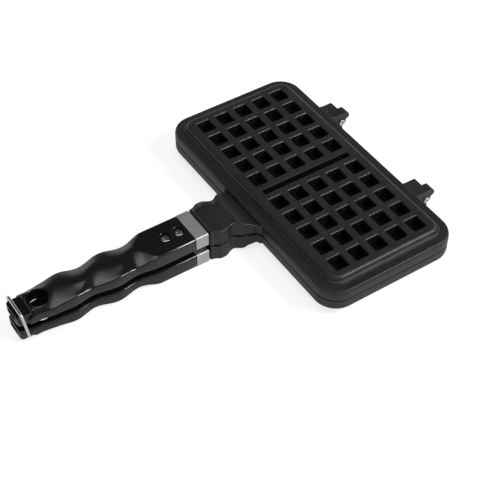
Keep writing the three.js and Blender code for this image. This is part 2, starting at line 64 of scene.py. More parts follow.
# Plate. The groove and the ledge's end are given as [inset from the plate's edge, height]
PLATE_X, PLATE_Y, PLATE_TOP = 55, 105, 13.1
PLATE_CORNER, LEAST_CORNER = 17, 1
PARTING = 0.15
PARTING_GROOVE = ((0.8, PARTING), (0.8, 0.34), (0.3, 0.38), (0.1, 0.46), (0, 0.66))
RIM_HEIGHT, RIM_IN, RIM_FALL = 8.5, 1.35, 3.6
LEDGE_INSET, LEDGE_ROUND, LEDGE_COVE = 7.0, 1.2, 0.3
LEDGE_TOP, LEDGE_END = 10.0, (8.45, 10.03)
FIELD_INSET, FIELD_ROUND = 8.7, 2.9

# Pockets, slot, pegs and waffle spaces. A mouth, foot, tip or round is a list of levels: how far the
# outline is drawn in there, and how far the level lies from the surface where the list starts or ends.
# The slot's foot is drawn in by two amounts, along and across
COLUMNS, ROWS = 5, 5
COLUMN_PITCH, ROW_PITCH, FIRST_ROW = 16.54, 17.3, 13.95
POCKET_X, POCKET_Y, POCKET_FLOOR, POCKET_CORNER = 6.2, 6.65, 5.4, 1.1
POCKET_MOUTH = ((0, 0), (0.1, 0.02), (0.24, 0.12), (0.56, 0.46), (0.68, 0.62), (0.74, 0.85), (0.9, 1.5))
POCKET_FOOT = ((2.3, 0.8), (2.45, 0.3), (2.75, 0.05), (3.2, 0))
# From this ring of a pocket's or the slot's mouth down, faces get painted shade
PAINTED_SHADE_FROM_LEVEL = 5
SLOT_X, SLOT_Y, SLOT_FLOOR, SLOT_SIDE_SHARE = 38, 2.8, 2.6, 0.5
SLOT_CORNER, SLOT_FOOT_CORNER = 0.7, 0.6
SLOT_FOOT = ((2.6, 1.3, 0.7), (2.8, 1.5, 0))
PEG_X, PEG_Y, PEG_END, PEG_CORNER = 6.7, 7.15, 3.0, 1.1
PEG_FOOT = ((-0.7, 0), (-0.3, 0.12), (-0.05, 0.45), (0.1, 1))
PEG_TIP = ((1.15, 0.8), (1.28, 0.35), (1.6, 0.07), (2.1, 0))
SPACE_X, SPACE_Y, SPACE_TOP, SPACE_CORNER, SPACE_DRAFT = 45.8, 95.8, 9.9, 5, 1.1
SPACE_MOUTH = ((0, 0), (0.25, 0.08), (0.45, 0.35), (0.5, 0.8))
SPACE_ROUND = ((0, 1.2), (0.25, 0.45), (0.7, 0.1), (1.3, 0))
DIVIDER_TIP, DIVIDER_DRAFT, DIVIDER_CORNER = 2.6, 2.0, 2.2

# Hinges. The pin's head is given as [radius, depth below the pin's end]
HINGE_Y, LUG_LENGTH, LUG_TOP = 51.1, 16.4, 7.7
LUG_ROOT, LUG_EDGE, LUG_GAP = PLATE_X - 4.2, 0.45, 0.15
LUG_RAMP = [(PLATE_X + 2.5, LUG_TOP), (PLATE_X - 0.5, RIM_HEIGHT - 0.3), (LUG_ROOT, RIM_HEIGHT - 0.05)]
AXIS_R = 0.01
PIN_X, PIN_R, PIN_END, PIN_HEAD_R, PIN_HEAD_DEPTH = 64, 1.9, 9.2, 2.5, 0.7
PIN_HEAD = ((PIN_HEAD_R - 0.1, PIN_HEAD_DEPTH), (PIN_HEAD_R, 0.6), (PIN_HEAD_R, 0.3),
            (PIN_HEAD_R - 0.12, 0.08), (PIN_HEAD_R - 0.35, 0), (1.2, 0), (1, 0.15), (0.9, 0.5), (0.85, 3),
            (AXIS_R, 3))
KNUCKLE_R, HINGE_END = 4.2, 71.0
ROOF_R, ROOF_END = KNUCKLE_R + 0.3, PIN_X + 1.3
LIP_THICKNESS, LIP_ROUND = 5, 3.3
WEB_HALF, WEB_SINK, WEB_EDGE = 1, 0.08, 0.1
ROOF_WEB_LOW, ROOT_WEB_LOW = 4.7, 0.3

# Ferrule. Its lip and inside are given as [in from the end, inset, corner]
FERRULE_X0, FERRULE_X1 = -101.7, -91.9
FERRULE_TOP, HANDLE_BOTTOM = 13.75, 2.5
FERRULE_HALF, FERRULE_WALL, FERRULE_CORNER = 14, 0.8, 1.2
FERRULE_LIP = ((0, FERRULE_WALL - 0.15, 0.7), (0, 0.15, FERRULE_CORNER - 0.15),
               (0.06, 0.04, FERRULE_CORNER), (0.2, 0, FERRULE_CORNER))
FERRULE_INSIDE = (0.2, FERRULE_WALL, 0.6)

# Neck, with half widths and heights by shares of its length, and the spigot and tang beyond it
NECK_X0, NECK_X1, NECK_STEPS = -90.7, -52.0, 60
NECK_WIDTH = ((0, 14.14), (0.06, 14.42), (0.22, 16.8), (0.29, 16.8), (0.52, 14.14), (0.75, 18.48),
              (0.93, 20.72), (1, 24.5))
NECK_HEIGHT = ((0, 13.42), (0.25, 13.42), (0.6, 12.66), (1, 8.3))
NECK_LOW, NECK_LOW_EDGE, NECK_EDGE = 0.75, 0.3, 1
NECK_START = ((0, 0.7), (0.2, 0.25), (0.7, 0))
NECK_LIP, NECK_LIP_ROUND, NECK_RECESS = 1.3, 0.9, 1.6
NECK_RECESS_FOOT = ((0.15, -1.35), (0.4, -1.56), (0.8, -NECK_RECESS))
SUNK = 1
SPIGOT_HALF, SPIGOT_LOW, SPIGOT_TOP, SPIGOT_CORNER = 12.9, 3.6, 12.65, 0.8
TANG_HALF, TANG_LOW, TANG_TOP, TANG_CORNER = 7, 3.8, 7.6, 0.5
TANG_X0, TANG_START = -124.2, ((0, 0.5), (0.3, 0.1), (0.7, 0))

# Handle. The wavy lists run along the grip: shares of its half width and height, and sway in millimetres.
# The slope's list runs across it, from the side inwards: shares of the slope's width and of its drop
HANDLE_X0, HANDLE_TOP = -102.0, 13.45
FLAT_END, GRIP_END, GRIP_STEPS = -130.0, -226.8, 150
GRIP_WIDTH = ((0, 1), (0.17, 0.87), (0.34, 1), (0.52, 0.83), (0.68, 0.96), (0.8, 0.92), (0.93, 0.83),
              (1, 0.84))
GRIP_EDGE = ((0, 0.07), (0.17, 0.34), (0.33, 0.18), (0.51, 0.34), (0.66, 0.19), (0.86, 0.4), (0.97, 0.4),
             (1, 0.6))
GRIP_RIDGE = ((0, 0.93), (0.12, 0.12), (0.75, 0.12), (0.9, 0.6), (1, 0.72))
GRIP_TOP = ((0, 0), (0.645, 0), (0.84, 0.1), (0.95, 0.12), (1, 0.6))
GRIP_SWAY = ((0, 0), (0.12, 2), (0.26, -3), (0.41, 2.5), (0.56, -3), (0.72, 2.5), (0.86, 0))
GRIP_SLOPE = ((0.06, 1), (0.34, 0.63), (0.67, 0.26), (1, 0))
GRIP_SHOULDER, GRIP_CUTS = 0.8, (1.7, 0.7, 0.6, 2.2, 2.6, 2.6)
GRIP_START = ((0, 0.5), (0.15, 0.15), (0.5, 0))
GRIP_END_LENGTH, GRIP_END_ROUND = 2.4, 0.9
NOSE_END, NOSE_HALF, NOSE_TOP, NOSE_CORNER, NOSE_EDGE = -234.0, 9.4, 10.6, 2.6, 0.8
RECESS_HALF, RECESS_LOW, RECESS_TOP, RECESS_CORNER = 5.7, 4.7, 9.35, 1.6
RECESS_LEVELS = ((-1, 0), (1.2, 0.1), (1.6, 0.6))
HOLE_X, HOLE_R, HOLE_ROUND = -214.8, 7.6, 0.8
HOLE_MOUTH, HOLE_FLARE, HOLE_FLARE_RISE = HANDLE_TOP - 1.5, 1.5, 0.35
TOOL_OVERRUN, TOOL_TOP = 2, 20
TANG_PLAY, TANG_SLOT_EDGE = 0.3, 0.2
BORE_MARGIN, MATING_MARGIN = 0.2, 0.05

# Screws and washers
SCREWS_X = (-107.6, -118.2)
SEAT, SCREW_HOLE_R, COUNTERBORE_R, COUNTERBORE_EDGE = 9.25, 2.3, 4.1, 0.2
SHANK_R, SHANK_LOW, SHANK_EDGE = 2.0, 3.5, 0.3
HEAD_R, HEAD_LOW, HEAD_HEIGHT, HEAD_EDGE = 3.7, SEAT + 1.3, 2, 0.1
DOME_R, DOME_RISE, DOME_FLAT_R = 1.3, 0.7, 1.5
CROSS_LENGTH, CROSS_WIDTH, CROSS_FLOOR, CROSS_TOP, CROSS_EDGE = 3.6, 1.1, 11.45, 14, 0.05
WASHER_IN, WASHER_OUT, WASHER_EDGE = 2.35, 3.5, 0.1
WASHER_LOW, WASHER_HIGH, WASHER_SPRING = SEAT + 0.3, SEAT + 1.0, 0.12
WASHER_OPENING, WASHER_STEPS = math.radians(7), 44

# Bail
BAIL_X, BAIL_LEAN, BAIL_DROP, BAIL_RISE = -228.5, 2.5, -8, 13.28
BAIL_PLAY, BAIL_DEPTH, BAIL_BEND, BAIL_PIECE = 0.3, 3.6, 2.6, 1.5
WIRE_R, WIRE_END_SHARE = 1.1, 0.8


def arc(centre_a, centre_b, radius, start, end, steps, tall=None):
    """Points of an arc in a profile plane, angles in degrees. A tall radius makes it part of an ellipse."""
    rise = tall or radius
    out = []
    for step in range(steps + 1):
        angle = math.radians(start + (end - start) * step / steps)
        out.append((centre_a + radius * math.cos(angle), centre_b + rise * math.sin(angle)))
    return out


def rounded(x0, x1, y0, y1, z, corner, steps=6):
    """An anticlockwise ring round a rectangle with round corners, of one radius or of four."""
    radii = corner if isinstance(corner, tuple) else (corner,) * 4
    corners = ((x1, y1, 1, 1), (x0, y1, -1, 1), (x0, y0, -1, -1), (x1, y0, 1, -1))
    out = []
    for quarter, (x, y, sign_x, sign_y) in enumerate(corners):
        r = radii[quarter]
        for step in range(steps + 1):
            angle = (quarter + step / steps) * math.pi / 2
            out.append((x - sign_x * r + r * math.cos(angle), y - sign_y * r + r * math.sin(angle), z))
    return out


def around(x, y, half_x, half_y, z, corner, steps):
    """A level ring about a middle."""
    return rounded(x - half_x, x + half_x, y - half_y, y + half_y, z, corner, steps)


def section(x, half, low, high, corner, steps=6):
    """A ring that stands across the X axis."""
    return [(x, y, z) for y, z, _ in rounded(-half, half, low, high, 0, corner, steps)]


def upright(x0, x1, low, high):
    """The outline of a rectangle in X and Z."""
    return [(x0, low), (x0, high), (x1, high), (x1, low)]


def wave(stations, place):
    """A value along [place, value] stations, rounded off at each station."""
    if place <= stations[0][0]:
        return stations[0][1]
    for (a, start), (b, end) in zip(stations, stations[1:]):
        if place <= b:
            blend = (1 - math.cos(math.pi * (place - a) / (b - a))) / 2
            return start + (end - start) * blend
    return stations[-1][1]


def bend(enter, corner, leave, steps):
    """Points of a curve that cuts a corner, along the corner's two sides at its ends."""
    shares = [step / steps for step in range(steps + 1)]
    return [enter * (1 - t) ** 2 + corner * (2 * t * (1 - t)) + leave * t ** 2 for t in shares]


def filleted(points, cuts):
    """A closed ring with each corner rounded off: cuts gives how far the round starts from the corner."""
    longest_share = 0.45
    out = []
    for i, (point, cut) in enumerate(zip(points, cuts)):
        here = Vector(point)
        back = Vector(points[i - 1]) - here
        ahead = Vector(points[(i + 1) % len(points)]) - here
        enter = here + back.normalized() * min(cut, back.length * longest_share)
        leave = here + ahead.normalized() * min(cut, ahead.length * longest_share)
        out += bend(enter, here, leave, steps=4)
    return out


class Skin:
    """Points and faces of a piece, in millimetres."""

    def __init__(self):
        self.points = []
        self.faces = []
        # Points down in a pocket: faces made only of them get painted shade
        self.shaded = set()

    def ring(self, points):
        start = len(self.points)
        self.points.extend(Vector(p) for p in points)
        return list(range(start, len(self.points)))

    def bridge(self, a, b):
        for i in range(len(a)):
            j = (i + 1) % len(a)
            self.faces.append((a[i], a[j], b[j], b[i]))

    def stack(self, rings, first_cap=False, last_cap=False, painted_shade_from=None):
        """Joins rings into a skin. Rings from the given level on lie deep in a pocket; their faces get
        painted shade.
        """
        made = [self.ring(r) for r in rings]
        if painted_shade_from is not None:
            self.shaded.update(index for ring in made[painted_shade_from:] for index in ring)
        for a, b in zip(made, made[1:]):
            self.bridge(a, b)
        if first_cap:
            self.faces.append(tuple(made[0]))
        if last_cap:
            self.faces.append(tuple(made[-1]))
        return made

    def fill(self, outer, holes):
        """A flat face inside the outer ring, with holes in it."""
        loops = [outer, *holes]
        flat = [index for loop in loops for index in loop]
        coordinates = [[self.points[index] for index in loop] for loop in loops]
        for triangle in tessellate_polygon(coordinates):
            self.faces.append(tuple(flat[i] for i in triangle))

    def prism(self, outline, low, high, edge):
        """An outline in X and Z carried along Y, its edges rounded."""
        bm = bmesh.new()
        face = bm.faces.new([bm.verts.new((x, low, z)) for x, z in outline])
        made = bmesh.ops.extrude_face_region(bm, geom=[face])
        far = [g for g in made["geom"] if isinstance(g, bmesh.types.BMVert)]
        bmesh.ops.translate(bm, vec=(0, high - low, 0), verts=far)
        bmesh.ops.recalc_face_normals(bm, faces=bm.faces)
        sharp = [e for e in bm.edges if e.calc_face_angle(0) > math.radians(PRISM_SMOOTH)]
        bmesh.ops.bevel(bm, geom=sharp, offset=edge, segments=3, profile=0.5, affect="EDGES",
                        clamp_overlap=True)
        bm.verts.ensure_lookup_table()
        start = len(self.points)
        self.points.extend(v.co.copy() for v in bm.verts)
        for face in bm.faces:
            self.faces.append(tuple(start + v.index for v in face.verts))
        bm.free()

    def lathe(self, profile, centre, axis, steps):
        """A profile of (radius, height) turned about the Z or Y axis through centre."""
        rings = []
        for radius, height in profile:
            circle = arc(0, 0, radius, 0, 360, steps)[:-1]
            offsets = [(a, b, height) if axis == "Z" else (a, height, b) for a, b in circle]
            rings.append([Vector(centre) + Vector(offset) for offset in offsets])
        self.stack(rings, True, True)


def mesh_of(name, skin, turned=False, smooth=CASTING_SMOOTH, weighted=False):
    """The object of a skin, in metres in the frame's place, with faces pointing out."""
    bm = bmesh.new()
    verts = [bm.verts.new(p) for p in skin.points]
    for face in skin.faces:
        made = bm.faces.new([verts[i] for i in face])
        # Faces deep in a pocket take the second finish, with painted shade
        made.material_index = int(skin.shaded.issuperset(face))
    bmesh.ops.remove_doubles(bm, verts=bm.verts, dist=WELD_DISTANCE)
    bmesh.ops.recalc_face_normals(bm, faces=bm.faces)
    place = Matrix.Scale(MM, 4) @ Matrix.Translation((PLATE_CENTRE_X, 0, PARTING_HEIGHT))
    if turned:
        place = place @ Matrix.Rotation(math.pi, 4, "X")
    bmesh.ops.transform(bm, matrix=place, verts=bm.verts)
    mesh = bpy.data.meshes.new(name)
    bm.to_mesh(mesh)
    bm.free()
    mesh.shade_smooth()
    mesh.set_sharp_from_angle(angle=math.radians(smooth))
    obj = bpy.data.objects.new(name, mesh)
    bpy.context.scene.collection.objects.link(obj)
    if weighted:
        modifier = obj.modifiers.new("even_normals", "WEIGHTED_NORMAL")
        modifier.keep_sharp = True
        modifier.weight = NORMAL_WEIGHT
    return obj


# Casting

def plate_profile():
    """The outside of the plate as [inset from its edge, height], from the parting plane to the field."""
    profile = list(PARTING_GROOVE)
    profile += arc(RIM_IN, RIM_HEIGHT - RIM_FALL, RIM_IN, 180, 90, 10, RIM_FALL)
    profile += arc(LEDGE_INSET - LEDGE_COVE, RIM_HEIGHT + LEDGE_COVE, LEDGE_COVE, 270, 360, 3)
    profile += arc(LEDGE_INSET + LEDGE_ROUND, LEDGE_TOP - LEDGE_ROUND, LEDGE_ROUND, 180, 90, 6)[1:]
    profile.append(LEDGE_END)
    profile += arc(FIELD_INSET + FIELD_ROUND, PLATE_TOP - FIELD_ROUND, FIELD_ROUND, 180, 90, 9)
    return profile


def pocket_rings(x, y):
    """Rings down one pocket, from its mouth to its floor."""
    levels = [(inset, PLATE_TOP - down) for inset, down in POCKET_MOUTH]
    levels += [(inset, POCKET_FLOOR + up) for inset, up in POCKET_FOOT]
    return [around(x, y, POCKET_X - inset, POCKET_Y - inset, z, POCKET_CORNER, steps=4)
            for inset, z in levels]


def slot_rings():
    """Rings down the slot between the two groups of pockets, from its mouth to its floor."""
    levels = [(along, along * SLOT_SIDE_SHARE, PLATE_TOP - down, SLOT_CORNER)
              for along, down in POCKET_MOUTH]
    levels += [(along, across, SLOT_FLOOR + up, SLOT_FOOT_CORNER) for along, across, up in SLOT_FOOT]
    return [around(0, 0, SLOT_X - along, SLOT_Y - across, z, corner, steps=3)
            for along, across, z, corner in levels]


def peg_rings(x, y):
    """Rings down one inner peg, from its foot at the top of the waffle space to its tip."""
    levels = [(inset, SPACE_TOP - down) for inset, down in PEG_FOOT]
    levels += [(inset, PEG_END + up) for inset, up in PEG_TIP]
    return [around(x, y, PEG_X - inset, PEG_Y - inset, z, PEG_CORNER, steps=3) for inset, z in levels]


def space_rings(side):
    """Rings up one waffle space, from its mouth at the parting plane to its top."""
    levels = [(inset, PARTING + up) for inset, up in SPACE_MOUTH]
    levels += [(SPACE_DRAFT + inset, SPACE_TOP - down) for inset, down in SPACE_ROUND]
    divider = (DIVIDER_CORNER, DIVIDER_CORNER)
    rings = []
    for inset, z in levels:
        share = (z - PARTING) / (SPACE_TOP - PARTING)
        near = DIVIDER_TIP + inset + (DIVIDER_DRAFT - SPACE_DRAFT) * share
        far = SPACE_Y - inset
        outer = (max(SPACE_CORNER - inset, LEAST_CORNER),) * 2
        y0, y1, radii = (near, far, outer + divider) if side > 0 else (-far, -near, divider + outer)
        rings.append(rounded(-SPACE_X + inset, SPACE_X - inset, y0, y1, z, radii))
    return rings


def grid(side):
    """The middles of one group of pockets."""
    return [((column - (COLUMNS - 1) / 2) * COLUMN_PITCH, side * (FIRST_ROW + row * ROW_PITCH))
            for row in range(ROWS) for column in range(COLUMNS)]


def plate_shell(skin):
    """The plate's outside with its pockets and slot, and its inside with the two waffle spaces."""
    outside = skin.stack([around(0, 0, PLATE_X - inset, PLATE_Y - inset, z,
                                 max(PLATE_CORNER - inset, LEAST_CORNER), steps=14)
                          for inset, z in plate_profile()])
    pits = [pocket_rings(x, y) for side in (1, -1) for x, y in grid(side)] + [slot_rings()]
    # Deep down in the pockets and the slot the faces get painted shade
    mouths = [skin.stack(rings, last_cap=True, painted_shade_from=PAINTED_SHADE_FROM_LEVEL)[0] for rings in pits]
    skin.fill(outside[-1], mouths)
    openings = []
    for side in (1, -1):
        space = skin.stack(space_rings(side))
        openings.append(space[0])
        feet = [skin.stack(peg_rings(x, y), last_cap=True)[0] for x, y in grid(side)]
        skin.fill(space[-1], feet)
    skin.fill(outside[0], openings)


def lug_outline(radius, last_angle, steps, beyond):
    """A lug from its root along the parting plane, round the pin, over the points beyond and up its ramp."""
    touch = math.degrees(math.asin(PARTING / radius))
    round_pin = arc(PIN_X, 0, radius, 180 - touch, last_angle, steps)
    return [(LUG_ROOT, PARTING)] + round_pin + beyond + LUG_RAMP


def hinge_lugs(skin):
    """Two lugs, each a knuckle with a lip and a roof over the other half's knuckle, joined by webs."""
    lip_low = LUG_TOP - LIP_THICKNESS
    lip = [(PIN_X + KNUCKLE_R, lip_low / 2), (HINGE_END, lip_low)]
    lip += arc(HINGE_END - LIP_ROUND, LUG_TOP - LIP_ROUND, LIP_ROUND, 0, 90, 6)
    knuckle = lug_outline(KNUCKLE_R, 360, 22, lip)
    roof = lug_outline(ROOF_R, 90, 12, [(ROOF_END, ROOF_R), (ROOF_END, LUG_TOP)])
    web_top = LUG_TOP - WEB_SINK
    webs = (upright(LUG_ROOT, ROOF_END - WEB_SINK, ROOF_WEB_LOW, web_top),
            upright(LUG_ROOT, PIN_X - ROOF_R, ROOT_WEB_LOW, web_top))
    for centre in (HINGE_Y, -HINGE_Y):
        skin.prism(knuckle, centre - LUG_LENGTH / 2, centre - LUG_GAP, LUG_EDGE)
        skin.prism(roof, centre + LUG_GAP, centre + LUG_LENGTH / 2, LUG_EDGE)
        for web in webs:
            skin.prism(web, centre - WEB_HALF, centre + WEB_HALF, WEB_EDGE)


def neck(skin):
    """The neck, with a shallow recess in its top and a lip that is rounded off inwards."""
    wall = arc(0, -NECK_LIP_ROUND, NECK_LIP_ROUND, 90, 0, 5)
    wall += [(NECK_LIP_ROUND + inwards, drop) for inwards, drop in NECK_RECESS_FOOT]
    places = list(NECK_START) + [(NECK_LIP + inwards, 0) for inwards, _ in wall]
    start = places[-1][0]
    rest = NECK_X1 - NECK_X0 - start
    places += [(start + rest * step / NECK_STEPS, 0) for step in range(1, NECK_STEPS + 1)]
    rings = []
    for along, inset in places:
        share = min(along / (-PLATE_X - NECK_X0), 1)
        half = wave(NECK_WIDTH, share) - inset
        top = wave(NECK_HEIGHT, share) - inset
        reached = [drop for inwards, drop in wall if NECK_LIP + inwards >= along]
        deepest = max(reached, default=-NECK_RECESS)
        lip = [(half - NECK_LIP - inwards, top + max(drop, deepest)) for inwards, drop in wall]
        edge = arc(half - NECK_EDGE, top - NECK_EDGE, NECK_EDGE, 0, 90, 5)
        right = [(half - NECK_LOW_EDGE, NECK_LOW), (half, NECK_LOW + NECK_LOW_EDGE)] + edge + lip
        ring = right + [(-y, z) for y, z in reversed(right)]
        rings.append([(NECK_X0 + along, y, z) for y, z in ring])
    skin.stack(rings, True, True)


def spigot_and_tang(skin):
    """What the neck carries: the spigot inside the ferrule and the tang inside the handle."""
    skin.stack([section(x, SPIGOT_HALF, SPIGOT_LOW, SPIGOT_TOP, SPIGOT_CORNER, steps=3)
                for x in (FERRULE_X0, NECK_X0 + SUNK)], True, True)
    places = [(TANG_X0 + along, inset) for along, inset in TANG_START] + [(FERRULE_X0 + SUNK, 0)]
    skin.stack([section(x, TANG_HALF - inset, TANG_LOW + inset, TANG_TOP - inset, TANG_CORNER, steps=3)
                for x, inset in places], True, True)


def ferrule(skin):
    """A steel band: rings along its outside from end to end, and back along its inside."""
    order = [(FERRULE_X0 + along, inset, corner) for along, inset, corner in FERRULE_LIP]
    order += [(FERRULE_X1 - along, inset, corner) for along, inset, corner in reversed(FERRULE_LIP)]
    along, wall, inner_corner = FERRULE_INSIDE
    order += [(FERRULE_X1 - along, wall, inner_corner), (FERRULE_X0 + along, wall, inner_corner)]
    rings = []
    for x, inset, corner in order:
        half, low, high = FERRULE_HALF - inset, HANDLE_BOTTOM + inset, FERRULE_TOP - inset
        rings.append(skin.ring(section(x, half, low, high, corner)))
    for a, b in zip(rings, rings[1:] + rings[:1]):
        skin.bridge(a, b)


# Handle

def grip_ring(share, x, drawn_in):
    """The grip's outline at a share of its length: upright sides, sloping flanks and a ridge that sways."""
    height = HANDLE_TOP - HANDLE_BOTTOM
    half = wave(GRIP_WIDTH, share) * FERRULE_HALF - drawn_in
    edge = HANDLE_TOP - wave(GRIP_EDGE, share) * height
    top = HANDLE_TOP - wave(GRIP_TOP, share) * height
    ridge = wave(GRIP_RIDGE, share) * half
    sway = wave(GRIP_SWAY, share)
    sides = []
    for slope in (half - ridge - sway, half - ridge + sway):
        side = [(half, HANDLE_BOTTOM), (half, edge - GRIP_SHOULDER)]
        side += [(half - slope * inwards, top - (top - edge) * left) for inwards, left in GRIP_SLOPE]
        sides.append(side)
    ring = sides[0] + [(-y, z) for y, z in reversed(sides[1])]
    return filleted([(x, y, z) for y, z in ring], GRIP_CUTS + GRIP_CUTS[::-1])


def grip(skin):
    """The handle from its screwed flat to the end of the grip, drawn in softly at both ends."""
    rings = [grip_ring(0, HANDLE_X0 - along, inset) for along, inset in GRIP_START]
    length = FLAT_END - GRIP_END
    for step in range(GRIP_STEPS + 1):
        share = step / GRIP_STEPS
        past = max(0, 1 - (1 - share) * length / GRIP_END_LENGTH)
        drawn_in = GRIP_END_ROUND * (1 - math.sqrt(1 - past ** 2))
        rings.append(grip_ring(share, FLAT_END - share * length, drawn_in))
    skin.stack(rings, True, True)


def nose(skin):
    """The dropped nose beyond the grip. It starts inside the grip, at the hang hole."""
    levels = arc(NOSE_EDGE, HANDLE_BOTTOM + NOSE_EDGE, NOSE_EDGE, 270, 180, 3)
    levels += arc(NOSE_EDGE, NOSE_TOP - NOSE_EDGE, NOSE_EDGE, 180, 90, 3)
    rings = []
    for inset, z in levels:
        half = NOSE_HALF - inset
        rings.append(rounded(NOSE_END + inset, HOLE_X - inset, -half, half, z, NOSE_CORNER))
    skin.stack(rings, True, True)


def cutter(name, skin):
    obj = mesh_of(name, skin)
    obj.hide_render = True
    return obj


def carve(obj, tools):
    """Cuts tools out of obj, applies the cuts and removes the tools."""
    for tool in tools:
        modifier = obj.modifiers.new("cut", "BOOLEAN")
        modifier.operation = "DIFFERENCE"
        modifier.solver = "EXACT"
        modifier.object = tool
    bpy.context.view_layer.update()
    depsgraph = bpy.context.evaluated_depsgraph_get()
    mesh = bpy.data.meshes.new_from_object(obj.evaluated_get(depsgraph))
    obj.modifiers.clear()
    obj.data = mesh
    for tool in tools:
        bpy.data.objects.remove(tool)


def turned_tool(name, profile, x, steps):
    skin = Skin()
    skin.lathe(profile, (x, 0, 0), "Z", steps)
    return cutter(name, skin)


def hole_tool():
    """The hang hole with its rounded rim, which opens out above the rim."""
    rim = HOLE_R + HOLE_ROUND
    profile = [(HOLE_R, -TOOL_OVERRUN)] + arc(rim, HOLE_MOUTH - HOLE_ROUND, HOLE_ROUND, 180, 90, 6)
    profile += [(rim + HOLE_FLARE, HOLE_MOUTH + HOLE_FLARE_RISE), (rim + HOLE_FLARE, TOOL_TOP)]
    return turned_tool("hang_hole", profile, HOLE_X, 72)


def counterbore_tool(x):
    """A screw's hole and counterbore, with a narrow bevel at its mouth."""
    bevelled = COUNTERBORE_R + COUNTERBORE_EDGE
    profile = [(SCREW_HOLE_R, -TOOL_OVERRUN), (SCREW_HOLE_R, SEAT), (COUNTERBORE_R, SEAT),
               (COUNTERBORE_R, HANDLE_TOP - COUNTERBORE_EDGE), (bevelled, HANDLE_TOP),
               (bevelled + COUNTERBORE_EDGE, TOOL_TOP)]
    return turned_tool("counterbore", profile, x, 48)


def tang_slot_tool():
    """Room for the tang, open towards the ferrule and the mating face."""
    skin = Skin()
    half = TANG_HALF + TANG_PLAY
    outline = upright(TANG_X0 - TANG_PLAY, HANDLE_X0 + TOOL_OVERRUN, 0, TANG_TOP + TANG_PLAY)
    skin.prism(outline, -half, half, TANG_SLOT_EDGE)
    return cutter("tang_slot", skin)


def nose_recess_tool():
    """A shallow recess in the nose's end."""
    skin = Skin()
    skin.stack([section(NOSE_END + along, RECESS_HALF - inset, RECESS_LOW + inset, RECESS_TOP - inset,
                        RECESS_CORNER) for along, inset in RECESS_LEVELS], True, True)
    return cutter("nose_recess", skin)


def handle_piece(name, turned):
    """A handle half: the grip and the nose, with the hang hole, the screw seats and the tang's slot."""
    grip_skin, nose_skin = Skin(), Skin()
    grip(grip_skin)
    nose(nose_skin)
    body = mesh_of(name, grip_skin)
    front = mesh_of(name + "_nose", nose_skin)
    carve(body, [hole_tool(), *(counterbore_tool(x) for x in SCREWS_X), tang_slot_tool()])
    carve(front, [hole_tool(), nose_recess_tool()])
    bm = bmesh.new()
    for obj in (body, front):
        bm.from_mesh(obj.data)
    if turned:
        bmesh.ops.transform(bm, matrix=TURN_OVER, verts=bm.verts)
    bore = Vector(((PLATE_CENTRE_X + HOLE_X) * MM, 0))
    # Faces in the hang hole and on the mating faces take the second finish, with painted shade
    for face in bm.faces:
        centre = face.calc_center_median()
        in_bore = (centre.xy - bore).length < (HOLE_R + BORE_MARGIN) * MM
        mating = abs(centre.z - PARTING_HEIGHT * MM) < (HANDLE_BOTTOM + MATING_MARGIN) * MM
        face.material_index = int(in_bore or mating)
    mesh = bpy.data.meshes.new(name)
    bm.to_mesh(mesh)
    bm.free()
    mesh.shade_smooth()
    mesh.set_sharp_from_angle(angle=math.radians(MOULDING_SMOOTH))
    body.data = mesh
    bpy.data.objects.remove(front)
    return body


# Small parts

def screw_piece(name, x, turned):
    """A pan head screw with a cross recess."""
    skin = Skin()
    profile = [(AXIS_R, SHANK_LOW), (SHANK_R - SHANK_EDGE, SHANK_LOW), (SHANK_R, SHANK_LOW + SHANK_EDGE),
               (SHANK_R, HEAD_LOW), (HEAD_R - HEAD_EDGE, HEAD_LOW), (HEAD_R, HEAD_LOW + HEAD_EDGE)]
    profile += arc(HEAD_R - DOME_R, HEAD_LOW + DOME_RISE, DOME_R, 0, 80, 9)
    profile += [(DOME_FLAT_R, HEAD_LOW + HEAD_HEIGHT), (AXIS_R, HEAD_LOW + HEAD_HEIGHT)]
    skin.lathe(profile, (x, 0, 0), "Z", 40)
    head = mesh_of(name, skin)
    bars = []
    for along, across in ((CROSS_LENGTH, CROSS_WIDTH), (CROSS_WIDTH, CROSS_LENGTH)):
        bar = Skin()
        outline = upright(x - along / 2, x + along / 2, CROSS_FLOOR, CROSS_TOP)
        bar.prism(outline, -across / 2, across / 2, CROSS_EDGE)
        bars.append(cutter("cross", bar))
    carve(head, bars)
    if turned:
        head.data.transform(TURN_OVER)
    head.data.set_sharp_from_angle(angle=math.radians(MOULDING_SMOOTH))
    return head


def washer_skin(x):
    """A split spring washer: a bevelled section carried round the screw and a little upwards."""
    skin = Skin()
    inner, outer = WASHER_IN + WASHER_EDGE, WASHER_OUT - WASHER_EDGE
    low, high = WASHER_LOW + WASHER_EDGE, WASHER_HIGH - WASHER_EDGE
    profile = [(WASHER_IN, low), (inner, WASHER_LOW), (outer, WASHER_LOW), (WASHER_OUT, low),
               (WASHER_OUT, high), (outer, WASHER_HIGH), (inner, WASHER_HIGH), (WASHER_IN, high)]
    rings = []
    for step in range(WASHER_STEPS + 1):
        share = step / WASHER_STEPS
        angle = WASHER_OPENING + 2 * (math.pi - WASHER_OPENING) * share
        lift = WASHER_SPRING * (share - 0.5)
        rings.append([(x + r * math.cos(angle), r * math.sin(angle), z + lift) for r, z in profile])
    skin.stack(rings, True, True)
    return skin


def pin_skin(side):
    """A hollow hinge pin with a low head at both ends."""
    skin = Skin()
    half = [(PIN_R, 0), (PIN_R, PIN_END - PIN_HEAD_DEPTH)]
    half += [(radius, PIN_END - depth) for radius, depth in PIN_HEAD]
    profile = [(radius, -height) for radius, height in reversed(half)] + half[1:]
    skin.lathe(profile, (PIN_X, side * HINGE_Y, 0), "Y", 40)
    return skin


